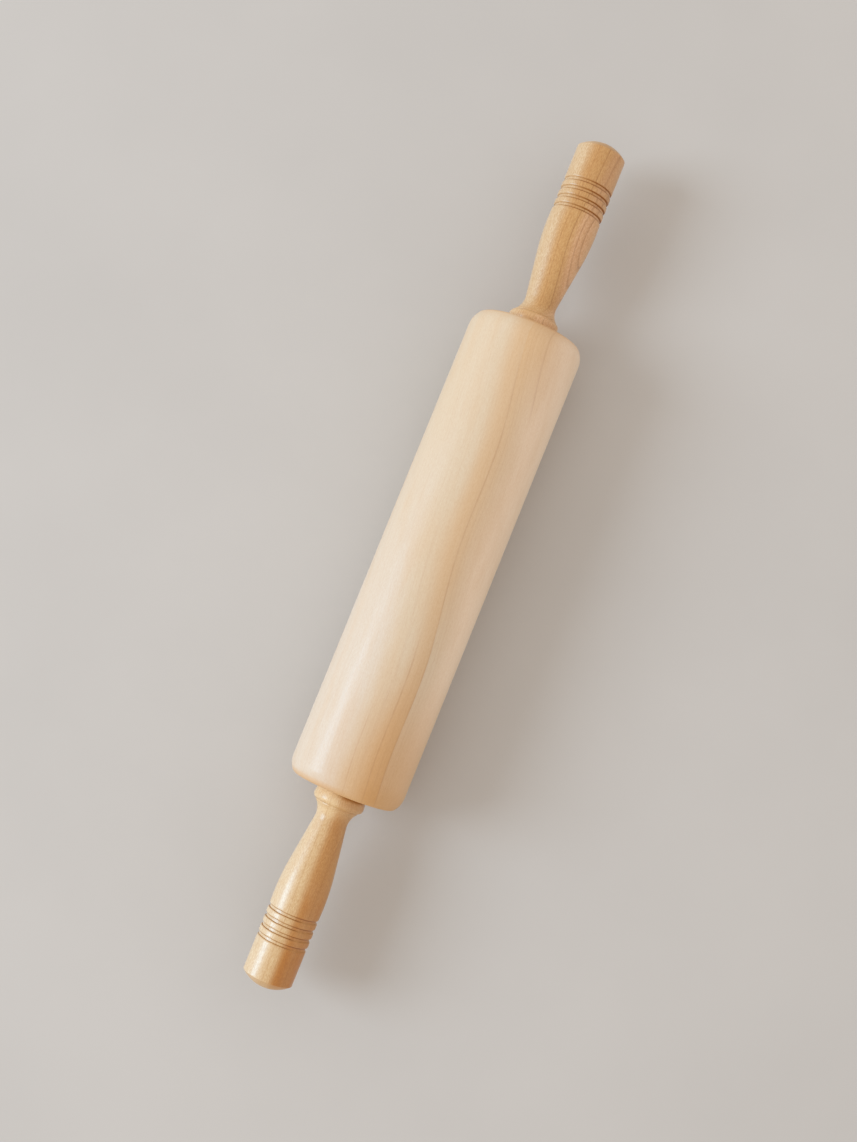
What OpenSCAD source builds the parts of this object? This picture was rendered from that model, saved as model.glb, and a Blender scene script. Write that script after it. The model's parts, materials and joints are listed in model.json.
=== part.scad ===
// Roller type rolling pin: a turned maple barrel that spins on two ball bearings,
// carried by a steel rod that runs from one turned handle to the other.
// X runs along the pin, Z is up, and the barrel rests on Z = 0.

/* [Barrel] */
// Length of the barrel between its flat end faces
barrel_len = 304.8; // [200:0.1:400]
// Diameter of the barrel
barrel_d = 73; // [66:0.5:90]
// Radius of the long soft shoulder where the barrel starts to turn in
shoulder_r = 14; // [10:0.5:20]
// Radius of the tighter edge that meets the end face
edge_r = 4; // [2:0.1:5]
// How far the end face lies inside the barrel's radius
edge_drop = 6; // [5.5:0.1:9]

/* [Handles] */
// Length of one handle from its collar face to the tip of its domed end
handle_len = 125.6; // [123:0.1:135]
// Air between the barrel's end face and the handle's collar face
handle_gap = 0.9; // [0.5:0.1:2]
// Largest diameter of the collar bead beside the barrel
collar_d = 32.2; // [30:0.1:34]
// Distance from the collar face to the bead's crest
collar_crest = 5.6; // [5:0.1:6]
// Diameter of the narrow neck behind the collar
neck_d = 20.6; // [19:0.1:22]
// Distance from the collar face to the narrowest point of the neck
neck_at = 17.7; // [17:0.1:18.5]
// Radius of the hollow cove that forms the neck
cove_r = 12.3; // [12:0.1:13]
// Diameter of the swell that fills the palm
swell_d = 32.1; // [31.5:0.1:33]
// Distance from the collar face to the crest of the swell
swell_at = 69.2; // [66:0.1:72]
// Radius of the long curve over the swell
swell_r = 145; // [120:1:150]
// Diameter of the straight end of the handle
grip_end_d = 31.5; // [31:0.1:32]
// Radius of the dome that ends the handle
end_dome_r = 23; // [20:0.1:40]
// Radius that eases the rim of that dome
end_edge_r = 0.6; // [0.4:0.1:2]

/* [Grip grooves] */
// Number of turned grooves around each handle
groove_count = 4; // [2:1:4]
// Distance from one groove to the next
groove_pitch = 5.82; // [5.5:0.01:6]
// Distance from the collar face to the middle of the first groove
first_groove = 78.3; // [77:0.1:80]
// Width of the flat floor of the grooves
groove_w = 1.8; // [1.4:0.1:2.2]
// Diameter at the floor of the grooves
groove_floor_d = 29.9; // [29.4:0.1:30.4]
// Diameter over the flat beads between the grooves
bead_crest_d = 31.8; // [31.5:0.1:32]
// Radius of the rounded shoulders of those beads
bead_edge_r = 1; // [0.6:0.1:1.5]

/* [Rod] */
// Diameter of the steel rod
rod_d = 9.525; // [9:0.005:10]
// Length of rod that is glued into each handle
rod_in_handle = 62.6; // [50:0.1:80]
// Glue room around the rod inside each handle
glue_gap = 0.04; // [0.02:0.01:0.1]
// Number of glue rings cut in each end of the rod
glue_rings = 6; // [2:1:7]

/* [Bearings] */
// Outside diameter of a bearing
bearing_od = 22.225; // [22:0.005:23]
// Width of a bearing
bearing_w = 7.142; // [7:0.001:8]
// Diameter of one ball
ball_d = 3.969; // [3.8:0.001:4]
// Number of balls in a bearing
ball_count = 7; // [5:1:7]
// Depth of the bearing's face below the barrel's end face
bearing_recess = 0.3; // [0.1:0.05:1]
// Thickness of the sheet steel in cages and shields
sheet_t = 0.32; // [0.25:0.01:0.35]

/* [Hidden] */
$fn = 96;

// Sides of the pin: the right handle points to +X and the left one to -X
LEFT = -1;
RIGHT = 1;

maple_pale = [0.90, 0.80, 0.65];
maple_golden = [0.85, 0.68, 0.45];
steel = [0.72, 0.73, 0.75];
bright_steel = [0.82, 0.83, 0.85];
sheet_steel = [0.62, 0.63, 0.65];
nylon = [0.93, 0.92, 0.88];

// Profiles are laid out to whole microns, so that neighbouring stretches meet exactly
function fine(v) = round(v * 1000) / 1000;

// Overlap of neighbouring stretches, and how proud one stands where two curves run together
lap = 1;
proud = 0.005;

barrel_r = barrel_d / 2;
half_len = barrel_len / 2;
// The rounded corner takes this much of the barrel's length
corner_len = fine(edge_r + sqrt(2 * shoulder_r * (edge_drop - edge_r) - pow(edge_drop, 2) + pow(edge_r, 2)));
straight_half = half_len - corner_len;
// Where the shoulder's arc runs into the edge's arc
edge_share = (corner_len - edge_r) / (shoulder_r - edge_r);
edge_from = fine(straight_half + shoulder_r * edge_share);

// Bearing, measured from its own middle with its axis along Z
rod_r = rod_d / 2;
seat_r = bearing_od / 2;
pitch_r = (rod_d + bearing_od) / 4;
ball_r = ball_d / 2;
race_r = fine(ball_r * 1.04);
inner_land_r = fine(pitch_r - 0.75 * ball_r);
outer_land_r = fine(pitch_r + 0.75 * ball_r);
bearing_mid = half_len - bearing_recess - bearing_w / 2;
ring_chamfer = 0.4;
slip_fit = 0.02;
shield_seat_r = outer_land_r + 0.65;
shield_seat_depth = 0.8;
shield_bore_r = inner_land_r + 0.35;
shield_rim = shield_seat_depth - 0.15;
pocket_r = ball_r + 0.1;
cage_in_r = pitch_r - 0.85;
cage_out_r = pitch_r + 0.85;
rivet_r = 0.35;
rivet_head_r = 0.55;
rivet_head_t = 0.15;
washer_r = inner_land_r - 0.3;
washer_slip = 0.05;

// Bores in the barrel
rod_room_r = rod_r + 0.9;
relief_r = outer_land_r - 0.1;
relief_depth = 1.5;
seat_depth = bearing_recess + bearing_w;

// Handle profile, where every distance is counted from the collar face
collar_face_at = half_len + handle_gap;
collar_r = collar_d / 2;
collar_rise_r = 12.5;
collar_fall_r = 3.3;
collar_lip_r = collar_r - collar_rise_r + sqrt(pow(collar_rise_r, 2) - pow(collar_crest, 2));
collar_chamfer = 0.5;
fillet_r = 13.5;
cove_from = collar_crest + collar_fall_r - 0.6;
neck_r = neck_d / 2;
swell_top = swell_d / 2;
grip_r = grip_end_d / 2;
floor_r = groove_floor_d / 2;
crest_r = bead_crest_d / 2;
grooves_from = fine(first_groove - groove_w / 2);
grooves_to = fine(first_groove + (groove_count - 1) * groove_pitch + groove_w / 2);
grip_lip_r = 1.2;

// The dome's middle lies on the axis, and its rim is eased into the straight end of the grip
dome_at = handle_len - end_dome_r;
rim_at = fine(dome_at + sqrt(pow(end_dome_r - end_edge_r, 2) - pow(grip_r - end_edge_r, 2)) + proud);
dome_from = fine(dome_at + (rim_at - dome_at) * end_dome_r / (end_dome_r - end_edge_r));

// The neck's cove and the swell's curve are joined by a straight taper at this angle
taper_along = swell_at - neck_at;
taper_across = (neck_r + cove_r) - (swell_top - swell_r);
taper = asin((swell_r + cove_r) / norm([taper_along, taper_across])) - atan2(taper_across, taper_along);
taper_from = fine(neck_at + cove_r * sin(taper));
taper_from_r = neck_r + cove_r * (1 - cos(taper)) + proud;
taper_to = fine(swell_at - swell_r * sin(taper));
taper_to_r = swell_top - swell_r * (1 - cos(taper)) - proud;
taper_slope = (taper_to_r - taper_from_r) / (taper_to - taper_from);

// The swell rolls over into the first groove on a small lip
swell_lip_r = 0.9;
swell_lip_at = grooves_from - swell_lip_r;
swell_lip_rise = sqrt(pow(swell_r - swell_lip_r, 2) - pow(swell_lip_at - swell_at, 2));
swell_lip_top = fine(swell_top - swell_r + swell_lip_rise + swell_lip_r + proud);
swell_to = fine(swell_at + (swell_lip_at - swell_at) * swell_r / (swell_r - swell_lip_r));

// Rod ends and the blind holes that hold them
rod_half = collar_face_at + rod_in_handle;
rod_end_chamfer = 0.8;
hole_depth = rod_in_handle + 1.5;
glue_ring_depth = 0.3;
glue_ring_w = 1.2;
glue_ring_pitch = 6;
first_glue_ring = rod_half - 8;

// Turns a profile, drawn as radius across and distance along the axis, into a solid
module turned() {
    rotate_extrude() children();
}

// Lays a piece that was turned about Z along the pin's axis, pointing out of one end
module on_pin(side, out = 0) {
    translate([0, 0, barrel_r]) rotate([0, side * 90, 0]) translate([0, 0, out]) children();
}

// Repeats a profile or a piece the other way along the axis, in 2D or in 3D
module both_ways(flip) {
    children();
    mirror(flip) children();
}

// Repeats a piece around the bearing's axis, at each ball or half way between balls
module around_bearing(offset = 0) {
    for (i = [0 : ball_count - 1])
        rotate((i + offset) * 360 / ball_count) translate([pitch_r, 0, 0]) children();
}

// A stretch of a profile between two distances, out to a radius
module band(from, to, r) {
    translate([0, from]) square([r, to - from]);
}

// A stretch of a profile that lies between two radii
module ring_band(from, to, r_in, r_out) {
    translate([r_in, from]) square([r_out - r_in, to - from]);
}

// A stretch of a profile under an arc of radius r, whose crest is at the radius top
module crowned_band(from, to, top, at, r) {
    intersection() {
        band(from, to, top + lap);
        union() {
            translate([top - r, at]) circle(r = r);
            if (top > r) band(at - r, at + r, top - r);
        }
    }
}

// A stretch of a profile under a hollow of radius r, whose floor is at the radius bottom
module hollow_band(from, to, bottom, at, r) {
    difference() {
        band(from, to, bottom + r);
        translate([bottom + r, at]) circle(r = r);
    }
}

// A diamond that breaks a corner of a profile at 45 degrees
module corner_break(r, at, size) {
    translate([r, at]) rotate(45) square(sqrt(2) * size, center = true);
}

// One rounded end of the barrel, from the straight part to the end face
module barrel_end_profile() {
    crowned_band(straight_half - lap, edge_from, barrel_r, straight_half, shoulder_r);
    crowned_band(edge_from - lap, half_len, barrel_r - edge_drop + edge_r + proud, half_len - edge_r, edge_r);
}

// Seat for a bearing in the barrel's end, with a relief behind the ring and an eased mouth
module bearing_seat_profile() {
    band(half_len - seat_depth, half_len + lap, seat_r);
    band(half_len - seat_depth - relief_depth, half_len, relief_r);
    corner_break(seat_r, half_len, ring_chamfer);
}

module barrel() {
    color(maple_pale) on_pin(RIGHT) turned() difference() {
        union() {
            band(-straight_half, straight_half, barrel_r);
            both_ways([0, 1]) barrel_end_profile();
        }
        band(-half_len - lap, half_len + lap, rod_room_r);
        both_ways([0, 1]) bearing_seat_profile();
    }
}

// Collar bead beside the barrel: a slow rise, a round crest and a quick fall
module collar_profile() {
    difference() {
        crowned_band(0, collar_crest, collar_r, collar_crest, collar_rise_r);
        corner_break(collar_r, 0, collar_r - collar_lip_r + collar_chamfer);
    }
    crowned_band(collar_crest - lap, collar_crest + collar_fall_r, collar_r, collar_crest, collar_fall_r);
}

// Neck, taper and swell, as one smooth line
module grip_profile() {
    intersection() {
        hollow_band(cove_from, taper_from, neck_r, neck_at, cove_r);
        band(cove_from - lap, taper_from + lap, fillet_r);
    }
    polygon([
        [0, taper_from - lap], [taper_from_r - lap * taper_slope, taper_from - lap],
        [taper_to_r, taper_to], [0, taper_to]
    ]);
    crowned_band(taper_to - 2 * lap, swell_to, swell_top, swell_at, swell_r);
    crowned_band(swell_lip_at - swell_lip_r / 2, grooves_from, swell_lip_top, swell_lip_at, swell_lip_r);
}

// A flat bead with rounded shoulders
module bead_profile(from, to) {
    crowned_band(from, from + 2 * bead_edge_r, crest_r, from + bead_edge_r, bead_edge_r);
    band(from + bead_edge_r, to - bead_edge_r, crest_r);
    crowned_band(to - 2 * bead_edge_r, to, crest_r, to - bead_edge_r, bead_edge_r);
}

// Flat floored grooves with a bead standing between each pair
module groove_profile() {
    band(grooves_from - lap, grooves_to + lap, floor_r);
    for (i = [1 : groove_count - 1]) {
        groove_ends = first_groove + (i - 1) * groove_pitch + groove_w / 2;
        bead_profile(fine(groove_ends), fine(groove_ends + groove_pitch - groove_w));
    }
}

// Straight end of the handle, closed by a dome with an eased rim
module handle_end_profile() {
    crowned_band(grooves_to, grooves_to + 2 * grip_lip_r, grip_r, grooves_to + grip_lip_r, grip_lip_r);
    band(grooves_to + grip_lip_r, rim_at, grip_r);
    crowned_band(rim_at - end_edge_r, rim_at + end_edge_r, grip_r, rim_at, end_edge_r);
    crowned_band(dome_from, handle_len, end_dome_r, dome_at, end_dome_r);
}

module handle(side) {
    color(maple_golden) on_pin(side, collar_face_at) turned() difference() {
        union() {
            collar_profile();
            grip_profile();
            groove_profile();
            handle_end_profile();
        }
        band(-lap, hole_depth, rod_r + glue_gap);
    }
}

module axle_rod() {
    color(steel) on_pin(RIGHT) turned() difference() {
        band(-rod_half, rod_half, rod_r);
        both_ways([0, 1]) {
            corner_break(rod_r, rod_half, rod_end_chamfer);
            for (i = [0 : glue_rings - 1]) {
                at = first_glue_ring - i * glue_ring_pitch;
                ring_band(at, at + glue_ring_w, rod_r - glue_ring_depth, rod_r + lap);
            }
        }
    }
}

// Washer that holds the handle's collar off the barrel, riding on the inner ring
module spacer_washer(side) {
    color(nylon) on_pin(side, half_len - bearing_recess) turned()
        ring_band(0, bearing_recess + handle_gap, rod_r + washer_slip, washer_r);
}

// Section of a bearing ring with its ball race, and with both ends of one wall chamfered
module ring_section(r_in, r_out, chamfered_r) {
    difference() {
        ring_band(-bearing_w / 2, bearing_w / 2, r_in, r_out);
        both_ways([0, 1]) corner_break(chamfered_r, bearing_w / 2, ring_chamfer);
        translate([pitch_r, 0]) circle(r = race_r);
    }
}

module bearing_outer_ring(side) {
    color(bright_steel) on_pin(side, bearing_mid) turned() difference() {
        ring_section(outer_land_r, seat_r, seat_r);
        both_ways([0, 1]) band(bearing_w / 2 - shield_seat_depth, bearing_w / 2 + lap, shield_seat_r);
    }
}

module bearing_inner_ring(side) {
    color(bright_steel) on_pin(side, bearing_mid) turned()
        ring_section(rod_r + slip_fit, inner_land_r, rod_r + slip_fit);
}

module bearing_balls(side) {
    color(bright_steel) on_pin(side, bearing_mid) around_bearing() sphere(r = ball_r);
}

// A flat hoop as wide as the cage, from the cage's middle out to a height
module cage_hoop(height) {
    difference() {
        cylinder(r = cage_out_r, h = height);
        translate([0, 0, -lap]) cylinder(r = cage_in_r, h = height + 2 * lap);
    }
}

// A round bar through a ball's middle, pointing away from the bearing's axis
module ball_bar(r) {
    rotate([0, 90, 0]) cylinder(r = r, h = 2 * ball_d, center = true);
}

// Half of the pressed cage: flat between the balls and arched over each of them
module cage_half() {
    difference() {
        union() {
            cage_hoop(sheet_t);
            intersection() {
                cage_hoop(pocket_r + sheet_t + lap);
                around_bearing() ball_bar(pocket_r + sheet_t);
            }
        }
        around_bearing() ball_bar(pocket_r);
        around_bearing(0.5) translate([0, 0, -lap]) cylinder(r = rivet_r, h = sheet_t + 2 * lap);
    }
}

module cage_outboard_half(side) {
    color(sheet_steel) on_pin(side, bearing_mid) cage_half();
}

module cage_inboard_half(side) {
    color(sheet_steel) on_pin(side, bearing_mid) mirror([0, 0, 1]) cage_half();
}

// Rivets that clamp the two halves of a cage together between the balls
module cage_rivets(side) {
    color(steel) on_pin(side, bearing_mid) around_bearing(0.5) {
        cylinder(r = rivet_r, h = 2 * sheet_t, center = true);
        both_ways([0, 0, 1]) translate([0, 0, sheet_t]) cylinder(r = rivet_head_r, h = rivet_head_t);
    }
}

// Pressed shield: a thin plate with a rim that is crimped into the outer ring
module shield() {
    seat_floor = bearing_w / 2 - shield_seat_depth;
    turned() {
        ring_band(seat_floor, seat_floor + sheet_t, shield_bore_r, shield_seat_r);
        ring_band(seat_floor, seat_floor + shield_rim, shield_seat_r - sheet_t, shield_seat_r);
    }
}

module outboard_shield(side) {
    color(sheet_steel) on_pin(side, bearing_mid) shield();
}

module inboard_shield(side) {
    color(sheet_steel) on_pin(side, bearing_mid) mirror([0, 0, 1]) shield();
}

barrel();
axle_rod();
handle(LEFT);  // left_handle
handle(RIGHT);  // right_handle
spacer_washer(LEFT);  // left_spacer_washer
spacer_washer(RIGHT);  // right_spacer_washer
bearing_outer_ring(LEFT);  // left_bearing_outer_ring
bearing_outer_ring(RIGHT);  // right_bearing_outer_ring
bearing_inner_ring(LEFT);  // left_bearing_inner_ring
bearing_inner_ring(RIGHT);  // right_bearing_inner_ring
bearing_balls(LEFT);  // left_bearing_balls
bearing_balls(RIGHT);  // right_bearing_balls
cage_outboard_half(LEFT);  // left_cage_outboard_half
cage_outboard_half(RIGHT);  // right_cage_outboard_half
cage_inboard_half(LEFT);  // left_cage_inboard_half
cage_inboard_half(RIGHT);  // right_cage_inboard_half
cage_rivets(LEFT);  // left_cage_rivets
cage_rivets(RIGHT);  // right_cage_rivets
outboard_shield(LEFT);  // left_outboard_shield
outboard_shield(RIGHT);  // right_outboard_shield
inboard_shield(LEFT);  // left_inboard_shield
inboard_shield(RIGHT);  // right_inboard_shield
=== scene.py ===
"""Looks of a roller type rolling pin: maple barrel, golden maple handles, steel rod and ball bearings.

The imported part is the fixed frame. This script gives every CAD node a procedural material, and adds
the floor, the light and the camera. Lengths in the materials of the part are in millimetres, as are
names that end in MM. Every other length is in metres.
"""

import functools
import json
import math
from collections import namedtuple

import bpy  # noqa: E402
from mathutils import Matrix, Vector  # noqa: E402


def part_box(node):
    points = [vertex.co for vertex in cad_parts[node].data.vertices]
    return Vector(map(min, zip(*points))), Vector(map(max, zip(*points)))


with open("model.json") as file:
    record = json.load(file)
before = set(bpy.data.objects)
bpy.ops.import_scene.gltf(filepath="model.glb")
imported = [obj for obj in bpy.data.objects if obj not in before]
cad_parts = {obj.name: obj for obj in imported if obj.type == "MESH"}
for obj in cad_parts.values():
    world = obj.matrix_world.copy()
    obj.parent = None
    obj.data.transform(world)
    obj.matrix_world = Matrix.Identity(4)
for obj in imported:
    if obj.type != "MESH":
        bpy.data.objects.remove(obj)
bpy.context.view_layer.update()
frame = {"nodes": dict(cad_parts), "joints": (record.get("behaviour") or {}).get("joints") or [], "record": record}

# Places that follow from the frame
MM = 1000.0
barrel_spin = next(joint for joint in frame["joints"] if joint["name"] == "barrel_spin")
AXIS_HEIGHT_MM = MM * barrel_spin["pos_m"][2]
COLLAR_FACE_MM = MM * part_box("right_handle")[0].x  # from the middle of the barrel

# Camera: it looks straight down, then tilts along the pin and turns about its own line of sight
CAMERA_PLACE = (0.05754, -0.00213, 0.94889)
CAMERA_TILT_DEG = 3.0653
CAMERA_TURN_DEG = 112.0937
CAMERA_LENS_MM = 46.93
SENSOR_MM = 36.0  # along the picture's long side

# Floor
FLOOR_COLOUR = (204, 202, 199)
FLOOR_HALF = 14.0
FLOOR_CLOUDS_PER_METRE = 4.0
FLOOR_TONES = (0.965, 1.02)  # the darkest and the lightest cloud in the table top
FLOOR_ROUGHNESS = 0.75
FLOOR_SHINE = 0.05

# Lamps and room: the glint is the place where the window shows itself in the finish
WINDOW_PLACE = (0.62, -2.9, 1.95)
WINDOW_SIZE = 1.7
WINDOW_WATTS = 66.0
WINDOW_COLOUR = (226, 241, 255)
GLINT_PLACE = (0.82, -3.2, 1.42)
GLINT_SIZE = 1.6
GLINT_WATTS = 58.0
GLINT_COLOUR = (156, 216, 255)
ROOM_LIGHT = 0.66
ROOM_LIGHT_FROM_SIDE = 0.10  # what the window's side of the room adds to that
ROOM_LIGHT_FROM_TOP = 0.10
ROOM_LIGHT_COLOUR = (255, 245, 236)
ROOM_COLOUR = (214, 212, 209)  # what the camera sees past the floor

# Patterns in wood: changes per mm along and across the grain, detail and roughness
Pattern = namedtuple("Pattern", "per_mm_along per_mm_across detail roughness")
RING_WAVE = Pattern(0.010, 0.03, 2.0, 0.35)
CLOUD = Pattern(0.02, 0.09, 2.0, 0.5)
FIBRE = Pattern(0.045, 1.7, 3.0, 0.6)
SPECK = Pattern(0.6, 1.6, 3.0, 0.7)
FLECK = Pattern(0.45, 3.2, 1.0, 0.5)

# The levels of those patterns, which vary about 0.5, between which each one takes effect
CLOUD_LEVELS = (0.40, 0.70)
FIBRE_LEVELS = (0.28, 0.72)
SPECK_LEVELS = (0.30, 0.70)
FLECK_LEVELS = (0.62, 0.74)

# Growth rings, where one year's growth goes from 0 to 1
RING_UNEVENNESS = 0.9  # in years: how far good and bad years shift the rings
UNEVEN_PER_YEAR = 0.7  # how fast that changes from year to year
STRONG_YEARS_POWER = 1.8  # a higher power leaves fewer strong years
LATE_WOOD_RISE, LATE_WOOD_FALL = (0.25, 0.93), (1.0, 0.95)
LINE_RISE, LINE_FALL = (0.74, 0.92), (1.0, 0.96)
LATE_WOOD_SHARE = 0.8  # of a wood's line share
WEAKEST_YEAR = 0.3  # share of its late wood that the weakest year shows
BOLD_INNER, BOLD_OUTER = 0.42, 0.16  # how far a bold ring's sides reach, as shares of its width
BOLD_INNER_CORE_MM, BOLD_OUTER_CORE_MM = 0.04, 0.02
BOLD_PATCHES_PER_MM = 0.045
BOLD_PATCH_LEVELS = (0.3, 0.62)
FAINTEST_PATCH = 0.55  # share of a bold ring that still shows there

# Tones and relief of wood
CLOUD_SHARE = 0.20
FLECK_SHARE = 0.16
GRAIN_POWERS = (0.55, 1.0, 1.6)  # how strongly fine grain works on red, green and blue
END_GRAIN_SHARE = 0.60
END_GRAIN_FACING = (0.28, 0.98)  # how squarely the surface faces along the pin, 1 on a flat end
END_GRAIN_DULLS = 0.18
FIBRE_DULLS = 0.16
DIFFUSE_ROUGHNESS = 0.35
RELIEF_STRENGTH = 0.6
PORE_DEPTH_MM = 0.045
FLECK_RELIEF, SPECK_RELIEF, LATE_WOOD_RELIEF = 0.5, 0.6, 0.2  # as shares of the fibres' relief
TOOL_MARK_DEPTH_MM = 0.012
TOOL_MARKS_PER_MM = 2.6

# A bold ring has its radius from the pith, its share of the line colour, and the stretch of the
# pin over which it fades in. A zone has its inner and outer radius, how soft each of them is, the
# same kind of stretch, its colour and its share. ALL_ALONG is a stretch that has long faded in,
# and ALL_RADII takes in every ring.
Ring = namedtuple("Ring", "radius share fade_from fade_to")
Zone = namedtuple("Zone", "inner outer soft_inner soft_outer fade_from fade_to colour share")
ALL_ALONG = (-400.0, -390.0)
ALL_RADII = (0.0, 400.0, 1.0, 1.0)

# The painted shade line along one side of every groove: its share on the pin's -Y and +Y sides, the
# stretch across the pin over which one share turns into the other, and half its width. A share
# below 0 lightens the wood into a painted highlight.
PaintedGrooveShading = namedtuple("PaintedGrooveShading", "at_left at_right from_y to_y half_width")

BARREL_WOOD = {
    "pale": (226, 208, 181),
    "cool": (228, 215, 198),
    "golden": (224, 188, 142),
    "tan": (219, 173, 117),
    "amber": (212, 158, 86),
    "rosy": (248, 226, 200),
    "line": (184, 126, 82),
    "end": (220, 172, 112),
    "fleck": (200, 158, 116),
    "ring_mm": 2.1,  # one year's growth
    "pith_mm": 160.0,  # from the pin's axis down to the pith of its log
    "facing_deg": 90.0,  # how that log is turned about the axis
    "twist_deg_per_mm": 0.1157,  # how fast its fibres wind round it
    "lean": 0.0,  # how much deeper the pith lies for each mm towards +X
    "lean_at_mm": 0.0,  # the place along the pin that this counts from
    "wave_mm": 0.8,  # how far the rings wave at random
    "wander_mm": 1.66,  # how far they swing in one regular curve
    "wander_period_mm": 138.4,
    "wander_peak_mm": -75.5,  # where that curve stands highest
    "line_share": 0.06,  # strength of the line that ends each year
    "bold_width_mm": 2.4,
    "bold_rings": (
        Ring(175.4, 0.30, -142.0, -98.0),
        Ring(167.2, 0.30, 38.0, 70.0),
        Ring(171.4, 0.10, 30.0, 90.0),
        Ring(154.4, 0.22, 88.0, 108.0),
        Ring(160.2, 0.08, -40.0, 0.0),
        Ring(186.4, 0.20, -85.0, -112.0),
    ),
    # Partly painted light and shade: the cool zone is partly a painted sheen on the -Y side towards +X, the golden
    # zones just to the +Y side of the top are partly painted shade, and the rosy zone partly paints light on the
    # +Y side. The rest is the wood's own tone.
    "zones": (
        Zone(0.0, 151.0, 1.0, 7.0, -115.0, 70.0, "cool", 0.9),
        Zone(182.0, 400.0, 8.0, 1.0, *ALL_ALONG, "rosy", 1.0),
        Zone(166.5, 175.4, 6.0, 0.3, *ALL_ALONG, "golden", 0.68),
        Zone(175.4, 182.5, 0.3, 7.5, 70.0, 0.0, "golden", 0.66),
        Zone(175.4, 190.0, 0.3, 6.0, -85.0, -145.0, "golden", 0.75),
        Zone(159.0, 175.4, 11.0, 0.4, 45.0, 140.0, "tan", 0.90),
        Zone(175.4, 400.0, 0.4, 1.0, 55.0, 142.0, "tan", 0.74),
        Zone(167.2, 175.4, 0.3, 0.3, 55.0, 120.0, "tan", 0.22),
        Zone(148.0, 165.0, 6.0, 8.0, 112.0, 145.0, "golden", 0.50),
        Zone(164.0, 400.0, 10.0, 1.0, 134.0, 150.0, "amber", 0.50),
        Zone(0.0, 165.0, 1.0, 6.0, 147.8, 150.6, "golden", 0.60),
        Zone(138.0, 170.0, 4.0, 5.0, 60.0, 136.0, "amber", 0.12),
    ),
    "speckle": 0.045,  # how far fine specks lighten and darken the wood
    "fibre_depth": 0.022,  # how far its fibres do
    "seed": 3.7,
    "roughness": 0.46,
    "coat": 0.20,
    "coat_roughness": 0.15,
}
LEFT_WOOD = {
    "pale": (222, 196, 157),
    "cool": (236, 203, 155),
    "golden": (209, 163, 102),
    "tan": (200, 148, 86),
    "rosy": (228, 183, 138),
    "line": (152, 88, 34),
    "end": (202, 156, 96),
    "fleck": (178, 124, 66),
    "ring_mm": 1.35,
    "pith_mm": 20.0,
    "facing_deg": 67.0,
    "twist_deg_per_mm": 0.0,
    "lean": 0.034,
    "lean_at_mm": -215.0,
    "wave_mm": 0.9,
    "wander_mm": 0.0,
    "wander_period_mm": 100.0,
    "wander_peak_mm": 0.0,
    "line_share": 0.30,
    "bold_width_mm": 0.9,
    "bold_rings": (
        Ring(33.4, 0.36, -163.0, -175.0),
        Ring(30.7, 0.46, -163.0, -175.0),
        Ring(26.8, 0.34, -163.0, -175.0),
        Ring(23.4, 0.24, -163.0, -175.0),
    ),
    # Partly painted light and shade: the pale -Y side is partly a painted soft highlight, and the tan zone over
    # the grooves and the end, on the +Y side, is partly painted shade.
    "zones": (
        Zone(23.5, 60.0, 3.5, 0.3, *ALL_ALONG, "golden", 1.0),
        Zone(31.8, 60.0, 1.5, 0.3, *ALL_ALONG, "rosy", 0.9),
        Zone(*ALL_RADII, -170.0, -160.0, "cool", 0.45),
        Zone(24.0, 60.0, 3.0, 0.3, -226.0, -240.0, "tan", 0.42),
    ),
    "speckle": 0.19,
    "fibre_depth": 0.045,
    "painted_groove_shade_near_barrel": PaintedGrooveShading(1.00, 1.33, -12.0, 6.0, 0.74),
    "painted_groove_shading_near_end": PaintedGrooveShading(0.00, 1.33, -12.0, 6.0, 0.66),
    "collar_painted_shade_at_left": 0.45,  # share of the painted shade about the collar, on the -Y side
    "collar_painted_shade_at_right": 1.35,
    "seed": 11.3,
    "roughness": 0.40,
    "coat": 0.48,
    "coat_roughness": 0.22,
}
RIGHT_WOOD = dict(
    LEFT_WOOD,
    pale=(231, 210, 176),
    cool=(240, 214, 168),
    golden=(221, 189, 141),
    tan=(190, 118, 28),
    rosy=(204, 150, 84),
    ring_mm=1.5,
    pith_mm=45.0,
    facing_deg=-115.0,
    twist_deg_per_mm=0.03,
    lean=0.010,
    lean_at_mm=215.0,
    line_share=0.11,
    bold_rings=(
        Ring(33.6, 0.24, *ALL_ALONG),
        Ring(38.9, 0.12, *ALL_ALONG),
        Ring(46.2, 0.05, *ALL_ALONG),
    ),
    # Partly painted light and shade: the pale -Y side is partly a painted sheen, and the rosy and tan zones on the
    # +Y side are partly painted shade.
    zones=(
        Zone(10.0, 49.0, 1.0, 4.0, *ALL_ALONG, "golden", 1.0),
        Zone(10.0, 41.5, 1.0, 3.0, *ALL_ALONG, "rosy", 1.0),
        Zone(10.0, 60.0, 1.0, 4.0, 172.0, 162.0, "cool", 0.30),
        Zone(41.0, 60.0, 3.0, 1.0, 172.0, 162.0, "cool", 0.60),
        Zone(10.0, 39.6, 1.0, 2.6, 192.0, 226.0, "tan", 0.50),
        Zone(10.0, 39.6, 1.0, 2.6, 240.0, 260.0, "tan", 0.62),
    ),
    speckle=0.15,
    painted_groove_shade_near_barrel=PaintedGrooveShading(0.95, 1.33, -4.0, 8.0, 0.60),
    # Painted shade on the -Y side of each groove's outer line, and a painted highlight on its +Y side
    painted_groove_shading_near_end=PaintedGrooveShading(1.15, -0.30, 3.0, 8.0, 0.36),
    collar_painted_shade_at_left=1.1,
    collar_painted_shade_at_right=1.25,
    seed=27.9,
)

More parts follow.
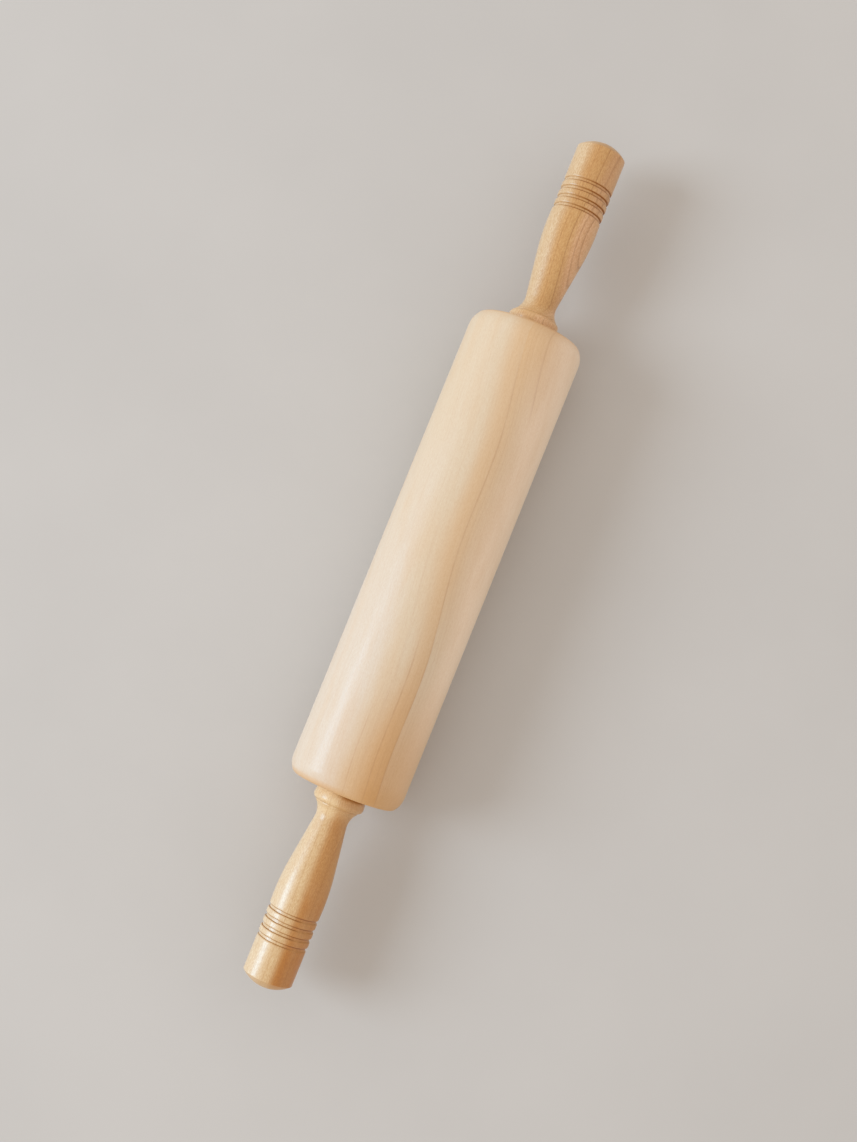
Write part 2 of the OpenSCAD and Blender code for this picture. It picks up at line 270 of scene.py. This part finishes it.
# Painted shade on a handle, in its grooves, its quirk and at its joint with the barrel, counted from the collar's
# face
GROOVE_COUNT = 4
FIRST_GROOVE_MM = 78.3
GROOVE_PITCH_MM = 5.82
GROOVES_AT_MM = [
    COLLAR_FACE_MM + FIRST_GROOVE_MM + GROOVE_PITCH_MM * i for i in range(GROOVE_COUNT)
]
CREASE_FROM_GROOVE_MM = 0.93  # from a groove's middle to the painted shade line on each side of it
CREASE_CORE_MM = 0.05
# The quirk behind the collar's bead gets painted shade
QUIRK_AT_MM = COLLAR_FACE_MM + 9.12
QUIRK_HALF_MM, QUIRK_CORE_MM = 0.75, 0.1
QUIRK_PAINTED_SHADE = 0.12
JOINT_DARK_MM, JOINT_CLEAR_MM = 1.0, 3.1  # the painted shadow band at the joint fades between these
JOINT_PAINTED_SHADOW = 0.95
JOINT_SIDES_MM = (-9.0, 8.0)  # along Y, where that band begins and where it is full
COLLAR_SIDES_MM = (-12.0, 6.0)  # along Y, where a wood's share at left turns into the one at right
PAINTED_SHADE_SHARES = (0.31, 0.50, 0.74)  # what painted shade takes from red, green and blue

# Metal and plastic inside the barrel
Metal = namedtuple("Metal", "title colour roughness lines_per_mm along_pin")
METALS = {
    "rod_steel": Metal("steel_drawn_bar", (182, 184, 188), 0.24, 6.0, True),
    "bearing_steel": Metal("steel_ground", (202, 204, 207), 0.14, 5.0, False),
    "sheet_steel": Metal("steel_pressed", (166, 168, 172), 0.34, 3.0, False),
}
DRAWN_LINES_PER_MM = 0.04  # how fast a drawn bar's lines change along the pin
STEEL_STAINS_PER_MM = 0.25
STAINED_TONE, LINED_TONE = 0.90, 0.94  # of the colour, in the darkest stains and lines
STEEL_LINES_DULL = 0.2
STEEL_LINE_DEPTH_MM, STEEL_RELIEF_STRENGTH = 0.004, 0.5
NYLON_COLOURS = ((226, 222, 208), (238, 235, 224))
NYLON_MOTTLES_PER_MM = 0.8
NYLON_ROUGHNESS = (0.38, 0.5)
NYLON_DEPTH_MM, NYLON_RELIEF_STRENGTH = 0.01, 0.4


# Short ways to write node graphs


def linear(colour):
    """An 8 bit screen colour as the linear colour that a shader takes."""
    channels = [c / 255 for c in colour]
    return [
        c / 12.92 if c <= 0.04045 else ((c + 0.055) / 1.055) ** 2.4 for c in channels
    ] + [1.0]


class Graph:
    """Makes nodes in one tree. A value is a number, a tuple or the output socket of another node."""

    def __init__(self, tree):
        self.tree = tree

    def put(self, socket, value):
        """Gives a socket its value, and leaves it as it is where the value is None."""
        if isinstance(value, bpy.types.NodeSocket):
            self.tree.links.new(value, socket)
        elif value is not None:
            socket.default_value = value

    def math(self, operation, *values):
        node = self.tree.nodes.new("ShaderNodeMath")
        node.operation = operation
        for socket, value in zip(node.inputs, values):
            self.put(socket, value)
        return node.outputs[0]

    def add(self, *values):
        return functools.reduce(functools.partial(self.math, "ADD"), values)

    def mul(self, *values):
        return functools.reduce(functools.partial(self.math, "MULTIPLY"), values)

    def sub(self, a, b):
        return self.math("SUBTRACT", a, b)

    def distance(self, value, place):
        """How far a value is from a place, to either side."""
        return self.math("ABSOLUTE", self.sub(value, place))

    def length(self, a, b):
        """The long side of a right triangle whose short sides are a and b."""
        return self.math("SQRT", self.add(self.mul(a, a), self.mul(b, b)))

    def smooth(self, value, start, end, low=0.0, high=1.0):
        """Goes softly from low, where the value is start, to high, where it is end."""
        node = self.tree.nodes.new("ShaderNodeMapRange")
        node.interpolation_type = "SMOOTHSTEP"
        names = ("Value", "From Min", "From Max", "To Min", "To Max")
        for name, setting in zip(names, (value, start, end, low, high)):
            self.put(node.inputs[name], setting)
        return node.outputs["Result"]

    def vector(self, x, y, z):
        node = self.tree.nodes.new("ShaderNodeCombineXYZ")
        for socket, value in zip(node.inputs, (x, y, z)):
            self.put(socket, value)
        return node.outputs[0]

    def split(self, vector):
        node = self.tree.nodes.new("ShaderNodeSeparateXYZ")
        self.put(node.inputs[0], vector)
        return node.outputs[0], node.outputs[1], node.outputs[2]

    def coordinates(self, kind):
        """The three texture coordinates of that kind, such as Object or Normal."""
        node = self.tree.nodes.new("ShaderNodeTexCoord")
        return self.split(node.outputs[kind])

    def noise(self, vector, scale=1.0, detail=2.0, roughness=0.5):
        """Smooth noise about 0.5, with scale features in one unit of the vector."""
        node = self.tree.nodes.new("ShaderNodeTexNoise")
        self.put(node.inputs["Vector"], vector)
        self.put(node.inputs["Scale"], scale)
        self.put(node.inputs["Detail"], detail)
        self.put(node.inputs["Roughness"], roughness)
        return node.outputs["Fac"]

    def noise_along(self, value, detail=1.0):
        """Smooth noise about 0.5 that changes with one value only."""
        node = self.tree.nodes.new("ShaderNodeTexNoise")
        node.noise_dimensions = "1D"
        self.put(node.inputs["W"], value)
        self.put(node.inputs["Scale"], 1.0)
        self.put(node.inputs["Detail"], detail)
        return node.outputs["Fac"]

    def random_of(self, value):
        """A random share from 0 to 1 that belongs to a value."""
        node = self.tree.nodes.new("ShaderNodeTexWhiteNoise")
        node.noise_dimensions = "1D"
        self.put(node.inputs["W"], value)
        return node.outputs["Value"]

    def mix(self, share, a, b, blend="MIX"):
        """Colour a with a share of colour b over it."""
        node = self.tree.nodes.new("ShaderNodeMix")
        node.data_type = "RGBA"
        node.blend_type = blend
        node.clamp_factor = True
        self.put(node.inputs["Factor"], share)
        for name, value in (("A", a), ("B", b)):
            socket = next(s for s in node.inputs if s.name == name and s.type == "RGBA")
            self.put(socket, value)
        return next(s for s in node.outputs if s.type == "RGBA")

    def tint(self, colour, red, green, blue):
        """The colour with each of its channels multiplied."""
        return self.mix(1.0, colour, self.vector(red, green, blue), "MULTIPLY")

    def bump(self, height, depth_mm, strength, under=None):
        """A surface normal with a relief of that depth, over another one if it is given."""
        node = self.tree.nodes.new("ShaderNodeBump")
        self.put(node.inputs["Height"], height)
        self.put(node.inputs["Distance"], depth_mm / MM)
        self.put(node.inputs["Strength"], strength)
        self.put(node.inputs["Normal"], under)
        return node.outputs["Normal"]


def new_material(name):
    """An empty material with its graph and its principled shader."""
    material = bpy.data.materials.new(name)
    material.use_nodes = True
    tree = material.node_tree
    shader = next(n for n in tree.nodes if n.type == "BSDF_PRINCIPLED")
    return material, Graph(tree), shader


def place_in_mm(g):
    """The point in the part's frame in millimetres, with the pin's axis at height 0."""
    x, y, z = (g.mul(value, MM) for value in g.coordinates("Object"))
    return x, y, g.sub(z, AXIS_HEIGHT_MM)


# Wood


class Log:
    """The log that a piece was turned from, with a point's place in it along, across and up."""

    def __init__(self, g, wood):
        self.g = g
        self.wood = wood
        self.seed = wood["seed"]
        self.along, self.side, height = place_in_mm(g)
        turn = g.add(
            g.mul(self.along, math.radians(wood["twist_deg_per_mm"])),
            math.radians(wood["facing_deg"]),
        )
        sine, cosine = g.math("SINE", turn), g.math("COSINE", turn)
        self.across = g.sub(g.mul(self.side, cosine), g.mul(height, sine))
        self.up = g.add(g.mul(height, cosine), g.mul(self.side, sine))
        self.radius = self.ring_radius()

    def pattern(self, kind, shift_along=0.0, shift_across=0.0):
        """Noise that is drawn out along the grain."""
        g = self.g
        place = g.vector(
            g.add(g.mul(self.along, kind.per_mm_along), shift_along),
            g.add(g.mul(self.across, kind.per_mm_across), shift_across),
            g.mul(self.up, kind.per_mm_across),
        )
        return g.noise(place, detail=kind.detail, roughness=kind.roughness)

    def ring_radius(self):
        """The radius of the growth ring through a point, about a pith that lies below the wood."""
        g, wood = self.g, self.wood
        wave = g.sub(self.pattern(RING_WAVE, shift_along=self.seed), 0.5)
        from_peak = g.sub(self.along, wood["wander_peak_mm"])
        swing = g.math("COSINE", g.mul(from_peak, 2 * math.pi / wood["wander_period_mm"]))
        leaning = g.mul(g.sub(self.along, wood["lean_at_mm"]), wood["lean"])
        wandering = g.add(g.mul(wave, wood["wave_mm"]), g.mul(swing, -wood["wander_mm"]))
        depth = g.add(self.up, leaning, wandering, wood["pith_mm"])
        return g.length(depth, self.across)


def yearly_rings(log):
    """The soft late wood and the fine line that end each year's growth, and how strong that year is."""
    g = log.g
    years = g.math("DIVIDE", log.radius, log.wood["ring_mm"])
    uneven = g.sub(g.noise_along(g.add(g.mul(years, UNEVEN_PER_YEAR), log.seed)), 0.5)
    years = g.add(years, g.mul(uneven, RING_UNEVENNESS))
    phase, year = g.math("FRACT", years), g.math("FLOOR", years)
    strength = g.math("POWER", g.random_of(g.add(year, log.seed)), STRONG_YEARS_POWER)
    late = g.mul(g.smooth(phase, *LATE_WOOD_RISE), g.smooth(phase, *LATE_WOOD_FALL))
    line = g.mul(g.smooth(phase, *LINE_RISE), g.smooth(phase, *LINE_FALL))
    return late, line, strength


def bold_rings(log):
    """How much line colour the few strongest rings have, which are fainter in patches."""
    g, wood = log.g, log.wood
    inner_reach = BOLD_INNER * wood["bold_width_mm"]
    outer_reach = BOLD_OUTER * wood["bold_width_mm"]
    bold = 0.0
    for ring in wood["bold_rings"]:
        inner_core = ring.radius - BOLD_INNER_CORE_MM
        outer_core = ring.radius + BOLD_OUTER_CORE_MM
        there = g.mul(
            g.smooth(log.radius, ring.radius - inner_reach, inner_core),
            g.smooth(log.radius, ring.radius + outer_reach, outer_core),
            g.smooth(log.along, ring.fade_from, ring.fade_to),
            ring.share,
        )
        bold = g.add(bold, there)
    patches = g.noise_along(g.add(g.mul(log.along, BOLD_PATCHES_PER_MM), log.seed), 2.0)
    return g.mul(bold, g.smooth(patches, *BOLD_PATCH_LEVELS, low=FAINTEST_PATCH))


def zoned_colour(log):
    """The wood's pale ground with broad zones of tone that follow the rings. Some zones are partly painted light
    and shade, which make one side of a piece lighter or darker.
    """
    g, wood = log.g, log.wood
    colour = linear(wood["pale"])
    for zone in wood["zones"]:
        inside = g.mul(
            g.smooth(log.radius, zone.inner - zone.soft_inner, zone.inner + zone.soft_inner),
            g.smooth(log.radius, zone.outer + zone.soft_outer, zone.outer - zone.soft_outer),
            g.smooth(log.along, zone.fade_from, zone.fade_to),
            zone.share,
        )
        colour = g.mix(inside, colour, linear(wood[zone.colour]))
    return colour


def ringed_colour(log, late, line, strength, flecks):
    """The zones with clouds, the rings' lines and small flecks over them."""
    g, wood = log.g, log.wood
    line_colour, fleck_colour = linear(wood["line"]), linear(wood["fleck"])
    clouds = g.smooth(log.pattern(CLOUD, shift_along=log.seed), *CLOUD_LEVELS)
    late_strength = g.add(WEAKEST_YEAR, g.mul(strength, 1.0 - WEAKEST_YEAR))
    late_share = g.mul(late, late_strength, LATE_WOOD_SHARE * wood["line_share"])
    line_share = g.mul(line, strength, wood["line_share"])
    colour = zoned_colour(log)
    colour = g.mix(g.mul(clouds, CLOUD_SHARE), colour, linear(wood["golden"]))
    colour = g.mix(late_share, colour, fleck_colour)
    colour = g.mix(line_share, colour, line_colour)
    colour = g.mix(bold_rings(log), colour, line_colour)
    return g.mix(g.mul(flecks, FLECK_SHARE), colour, fleck_colour)


def fine_grain(log, colour, fibre, speck):
    """The colour shaded by fibres and specks, which darken blue the most and red the least."""
    g = log.g
    depth, spread = log.wood["fibre_depth"], log.wood["speckle"]
    fibres = g.smooth(fibre, *FIBRE_LEVELS, 1.0 - depth, 1.0 + depth)
    specks = g.smooth(speck, *SPECK_LEVELS, 1.0 - spread, 1.0 + spread)
    grain = g.mul(fibres, specks)
    return g.tint(colour, *(g.math("POWER", grain, power) for power in GRAIN_POWERS))


def paint_shading_in_grooves(log, crease, offset):
    """How strong the painted shade is in the lines that lie at an offset from the middle of every groove; a share
    below 0 makes them a painted highlight.
    """
    g = log.g
    along = g.math("ABSOLUTE", log.along)
    lines = 0.0
    for place in GROOVES_AT_MM:
        away = g.distance(along, place + offset)
        lines = g.add(lines, g.smooth(away, crease.half_width, CREASE_CORE_MM))
    side = g.smooth(log.side, crease.from_y, crease.to_y, crease.at_left, crease.at_right)
    return g.mul(lines, side)


def paint_shade_at_collar(log):
    """How strong the painted shade is in the quirk behind the collar's bead, and the painted shadow in the band
    beside the joint with the barrel.
    """
    g, wood = log.g, log.wood
    along = g.math("ABSOLUTE", log.along)
    quirk = g.smooth(g.distance(along, QUIRK_AT_MM), QUIRK_HALF_MM, QUIRK_CORE_MM)
    joint = g.mul(
        g.smooth(along, COLLAR_FACE_MM + JOINT_CLEAR_MM, COLLAR_FACE_MM + JOINT_DARK_MM),
        g.smooth(log.side, *JOINT_SIDES_MM),
    )
    painted_shade_near_collar = g.add(g.mul(quirk, QUIRK_PAINTED_SHADE), g.mul(joint, JOINT_PAINTED_SHADOW))
    shares = wood["collar_painted_shade_at_left"], wood["collar_painted_shade_at_right"]
    return g.mul(painted_shade_near_collar, g.smooth(log.side, *COLLAR_SIDES_MM, *shares))


def wood_relief(log, fibre, speck, flecks, late, on_handle):
    """Open pores, and on a handle the rings that the turning tool leaves."""
    g = log.g
    pores = g.add(
        g.sub(fibre, g.mul(flecks, FLECK_RELIEF)),
        g.mul(speck, SPECK_RELIEF),
        g.mul(late, LATE_WOOD_RELIEF),
    )
    relief = g.bump(pores, PORE_DEPTH_MM, RELIEF_STRENGTH)
    if on_handle:
        tool_marks = g.noise_along(g.mul(log.along, TOOL_MARKS_PER_MM), 2.0)
        relief = g.bump(tool_marks, TOOL_MARK_DEPTH_MM, RELIEF_STRENGTH, under=relief)
    return relief


def turned_wood(title, wood, on_handle):
    """Maple whose rings, fibres and flecks run through the solid, so that end grain comes by itself."""
    material, g, shader = new_material(title)
    log = Log(g, wood)
    late, line, strength = yearly_rings(log)
    fibre = log.pattern(FIBRE, shift_along=log.seed)
    speck = log.pattern(SPECK, shift_across=log.seed)
    flecks = g.smooth(log.pattern(FLECK, shift_across=log.seed), *FLECK_LEVELS)

    colour = ringed_colour(log, late, line, strength, flecks)
    colour = fine_grain(log, colour, fibre, speck)

    # End grain drinks more finish, so it is darker and duller.
    facing_end = g.math("ABSOLUTE", g.coordinates("Normal")[0])
    end_grain = g.smooth(facing_end, *END_GRAIN_FACING)
    colour = g.mix(g.mul(end_grain, END_GRAIN_SHARE), colour, linear(wood["end"]))

    # Painted shade in the grooves, in the quirk and at the joint with the barrel, which varies across the pin, and
    # a painted highlight where a share is below 0.
    if on_handle:
        dark = g.add(
            paint_shading_in_grooves(log, wood["painted_groove_shade_near_barrel"], -CREASE_FROM_GROOVE_MM),
            paint_shading_in_grooves(log, wood["painted_groove_shading_near_end"], CREASE_FROM_GROOVE_MM),
            paint_shade_at_collar(log),
        )
        colour = g.tint(colour, *(g.sub(1.0, g.mul(dark, share)) for share in PAINTED_SHADE_SHARES))

    dulled = g.add(g.mul(g.sub(fibre, 0.5), FIBRE_DULLS), g.mul(end_grain, END_GRAIN_DULLS))
    relief = wood_relief(log, fibre, speck, flecks, late, on_handle)
    g.put(shader.inputs["Base Color"], colour)
    g.put(shader.inputs["Roughness"], g.add(wood["roughness"], dulled))
    g.put(shader.inputs["Diffuse Roughness"], DIFFUSE_ROUGHNESS)
    g.put(shader.inputs["Coat Weight"], wood["coat"])
    g.put(shader.inputs["Coat Roughness"], wood["coat_roughness"])
    g.put(shader.inputs["Normal"], relief)
    return material


# Metal and plastic


def steel(metal):
    """Machined steel: fine lines run along the pin on drawn bar, and round it on turned rings."""
    material, g, shader = new_material(metal.title)
    x, y, z = place_in_mm(g)
    fine = metal.lines_per_mm
    if metal.along_pin:
        place = g.vector(g.mul(x, DRAWN_LINES_PER_MM), g.mul(y, fine), g.mul(z, fine))
    else:
        place = g.vector(g.mul(x, fine), g.mul(g.length(y, z), fine), 0.0)
    lines = g.noise(place, detail=3.0)
    stains = g.noise(g.vector(x, y, z), scale=STEEL_STAINS_PER_MM, detail=3.0)
    tone = g.mul(
        g.smooth(stains, 0.3, 0.7, low=STAINED_TONE),
        g.smooth(lines, 0.2, 0.8, low=LINED_TONE),
    )
    roughness = g.add(metal.roughness, g.mul(g.sub(lines, 0.5), STEEL_LINES_DULL))
    relief = g.bump(lines, STEEL_LINE_DEPTH_MM, STEEL_RELIEF_STRENGTH)
    g.put(shader.inputs["Base Color"], g.tint(linear(metal.colour), tone, tone, tone))
    g.put(shader.inputs["Metallic"], 1.0)
    g.put(shader.inputs["Roughness"], roughness)
    g.put(shader.inputs["Normal"], relief)
    return material


def nylon():
    """Natural nylon: milky, faintly mottled, with a soft sheen."""
    material, g, shader = new_material("nylon_natural")
    mottle = g.noise(g.vector(*place_in_mm(g)), scale=NYLON_MOTTLES_PER_MM, detail=3.0)
    dark, light = (linear(colour) for colour in NYLON_COLOURS)
    relief = g.bump(mottle, NYLON_DEPTH_MM, NYLON_RELIEF_STRENGTH)
    g.put(shader.inputs["Base Color"], g.mix(g.smooth(mottle, 0.3, 0.7), dark, light))
    g.put(shader.inputs["Roughness"], g.smooth(mottle, 0.2, 0.8, *NYLON_ROUGHNESS))
    g.put(shader.inputs["Normal"], relief)
    return material


# The whole scene


def dress():
    """Gives every CAD node its material. The handles are of different wood, so each has its own."""
    finishes = {slot: steel(metal) for slot, metal in METALS.items()}
    finishes["pale_maple"] = turned_wood("maple_pale", BARREL_WOOD, on_handle=False)
    finishes["nylon"] = nylon()
    handles = {
        "left_handle": turned_wood("maple_golden_left", LEFT_WOOD, on_handle=True),
        "right_handle": turned_wood("maple_golden_right", RIGHT_WOOD, on_handle=True),
    }
    slots = {part["node"]: part["material_slot"] for part in frame["record"]["subparts"]}
    for name, node in frame["nodes"].items():
        node.data.materials.clear()
        node.data.materials.append(handles.get(name) or finishes[slots[name]])


def add_to_scene(name, data):
    """A new object of that name in the scene."""
    added = bpy.data.objects.new(name, data)
    bpy.context.scene.collection.objects.link(added)
    return added


def make_floor():
    """A plain pale table top, far larger than the view."""
    h = FLOOR_HALF
    mesh = bpy.data.meshes.new("floor")
    corners = [(-h, -h, 0), (h, -h, 0), (h, h, 0), (-h, h, 0)]
    mesh.from_pydata(corners, [], [(0, 1, 2, 3)])
    floor = add_to_scene("floor", mesh)
    material, g, shader = new_material("table_top")
    x, y, _ = g.coordinates("Object")
    clouds = g.noise(g.vector(x, y, 0.0), FLOOR_CLOUDS_PER_METRE, detail=4.0, roughness=0.55)
    tone = g.smooth(clouds, 0.25, 0.75, *FLOOR_TONES)
    g.put(shader.inputs["Base Color"], g.tint(linear(FLOOR_COLOUR), tone, tone, tone))
    g.put(shader.inputs["Roughness"], FLOOR_ROUGHNESS)
    g.put(shader.inputs["Specular IOR Level"], FLOOR_SHINE)
    mesh.materials.append(material)


def area_light(name, place, size, power, colour):
    """A round lamp that points at the part's origin."""
    light = bpy.data.lights.new(name, "AREA")
    light.shape = "DISK"
    light.size = size
    light.energy = power
    light.color = linear(colour)[:3]
    lamp = add_to_scene(name, light)
    lamp.location = place
    lamp.rotation_mode = "QUATERNION"
    lamp.rotation_quaternion = (-Vector(place)).to_track_quat("-Z", "Y")
    return lamp


def make_lamps():
    """A soft window on the pin's -Y side, and its glint, which shows only in the finish."""
    window = area_light("window", WINDOW_PLACE, WINDOW_SIZE, WINDOW_WATTS, WINDOW_COLOUR)
    window.visible_glossy = False
    glint = area_light("glint", GLINT_PLACE, GLINT_SIZE, GLINT_WATTS, GLINT_COLOUR)
    glint.visible_diffuse = False


def make_room():
    """Even light, a little more of it from the window's side and the top, and a plain back."""
    world = bpy.data.worlds.new("room")
    bpy.context.scene.world = world
    world.use_nodes = True
    g = Graph(world.node_tree)
    light = next(n for n in g.tree.nodes if n.type == "BACKGROUND")
    output = next(n for n in g.tree.nodes if n.type == "OUTPUT_WORLD")
    _, side, top = g.coordinates("Generated")
    from_side = g.mul(g.smooth(side, 0.6, -0.9), ROOM_LIGHT_FROM_SIDE)
    from_top = g.mul(g.smooth(top, 0.0, 1.0), ROOM_LIGHT_FROM_TOP)
    g.put(light.inputs["Color"], linear(ROOM_LIGHT_COLOUR))
    g.put(light.inputs["Strength"], g.add(ROOM_LIGHT, g.add(from_side, from_top)))
    seen = g.tree.nodes.new("ShaderNodeBackground")
    g.put(seen.inputs["Color"], linear(ROOM_COLOUR))
    g.put(seen.inputs["Strength"], 1.0)
    rays = g.tree.nodes.new("ShaderNodeLightPath")
    blend = g.tree.nodes.new("ShaderNodeMixShader")
    g.put(blend.inputs[0], rays.outputs["Is Camera Ray"])
    g.put(blend.inputs[1], light.outputs[0])
    g.put(blend.inputs[2], seen.outputs[0])
    g.put(output.inputs["Surface"], blend.outputs[0])


def make_camera():
    """Looks down on the table, a little from the right handle's end."""
    data = bpy.data.cameras.new("camera")
    data.sensor_fit = "AUTO"
    data.sensor_width = SENSOR_MM
    data.lens = CAMERA_LENS_MM
    camera = add_to_scene("camera", data)
    tilt = Matrix.Rotation(math.radians(CAMERA_TILT_DEG), 4, "Y")
    turn = Matrix.Rotation(math.radians(CAMERA_TURN_DEG), 4, "Z")
    camera.matrix_world = Matrix.Translation(CAMERA_PLACE) @ tilt @ turn
    bpy.context.scene.camera = camera


make_camera()
make_floor()
make_lamps()
make_room()
dress()

bpy.context.scene.view_settings.view_transform = "Standard"
